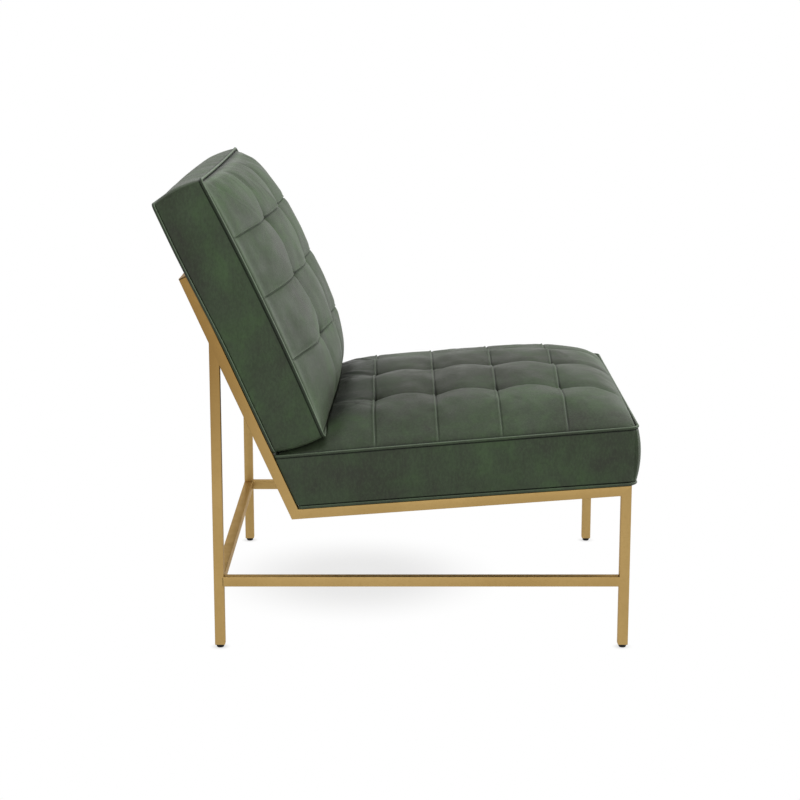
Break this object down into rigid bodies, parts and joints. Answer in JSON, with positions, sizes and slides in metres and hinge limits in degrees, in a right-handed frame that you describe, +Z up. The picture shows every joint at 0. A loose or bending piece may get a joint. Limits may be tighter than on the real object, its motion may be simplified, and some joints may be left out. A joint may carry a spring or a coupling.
{
  "type": "armless lounge chair",
  "caption": "Armless lounge chair: welded square-tube frame with a low seat, a quilted leather seat cushion and a reclined quilted back cushion, on levelling glides.",
  "frame": {"origin": "On the floor, under the middle of the chair's overall width and depth", "axes": "+Z up; the chair faces -Y; +X is at the sitter's left"},
  "size_m": [0.7592, 0.9024, 0.8982],
  "materials": {
    "satin_brass": "satin",
    "zinc_steel": "satin",
    "black_nylon": "matte",
    "green_leather": "satin",
    "plywood": "matte",
    "foam": "matte",
    "black_cambric": "matte"
  },
  "bodies": {
    "chair": {"front_leg_left": "satin_brass", "front_leg_right": "satin_brass", "rear_leg_left": "satin_brass", "rear_leg_right": "satin_brass", "seat_rail_left": "satin_brass", "seat_rail_right": "satin_brass", "back_upright_left": "satin_brass", "back_upright_right": "satin_brass", "side_stretcher_left": "satin_brass", "side_stretcher_right": "satin_brass", "rear_stretcher": "satin_brass", "top_back_rail": "satin_brass", "front_seat_rail": "satin_brass", "rear_seat_rail": "satin_brass", "upright_cap_left": "satin_brass", "upright_cap_right": "satin_brass", "seat_tab_1_left": "satin_brass", "seat_tab_1_right": "satin_brass", "seat_tab_2_left": "satin_brass", "seat_tab_2_right": "satin_brass", "back_tab_1_left": "satin_brass", "back_tab_1_right": "satin_brass", "back_tab_2_left": "satin_brass", "back_tab_2_right": "satin_brass", "seat_screw_1_left": "zinc_steel", "seat_screw_1_right": "zinc_steel", "seat_screw_2_left": "zinc_steel", "seat_screw_2_right": "zinc_steel", "back_screw_1_left": "zinc_steel", "back_screw_1_right": "zinc_steel", "back_screw_2_left": "zinc_steel", "back_screw_2_right": "zinc_steel", "foot_insert_front_left": "zinc_steel", "foot_insert_front_right": "zinc_steel", "foot_insert_rear_left": "zinc_steel", "foot_insert_rear_right": "zinc_steel", "seat_board": "plywood", "back_board": "plywood", "seat_foam": "foam", "back_foam": "foam", "seat_cover": "green_leather", "back_cover": "green_leather", "back_rear_panel": "green_leather", "seat_top_welt": "green_leather", "seat_bottom_welt": "green_leather", "back_front_welt": "green_leather", "back_rear_welt": "green_leather", "seat_dust_cover": "black_cambric"},
    "glide_body_front_left": {"glide_front_left": "black_nylon"},
    "glide_body_front_right": {"glide_front_right": "black_nylon"},
    "glide_body_rear_left": {"glide_rear_left": "black_nylon"},
    "glide_body_rear_right": {"glide_rear_right": "black_nylon"}
  },
  "joints": [
    {"name": "glide_front_left_level", "type": "slide", "parent": "chair", "child": "glide_body_front_left", "axis": [0, 0, -1], "range_m": [0, 0.01]},
    {"name": "glide_front_right_level", "type": "slide", "parent": "chair", "child": "glide_body_front_right", "axis": [0, 0, -1], "range_m": [0, 0.01]},
    {"name": "glide_rear_left_level", "type": "slide", "parent": "chair", "child": "glide_body_rear_left", "axis": [0, 0, -1], "range_m": [0, 0.01]},
    {"name": "glide_rear_right_level", "type": "slide", "parent": "chair", "child": "glide_body_rear_right", "axis": [0, 0, -1], "range_m": [0, 0.01]}
  ]
}
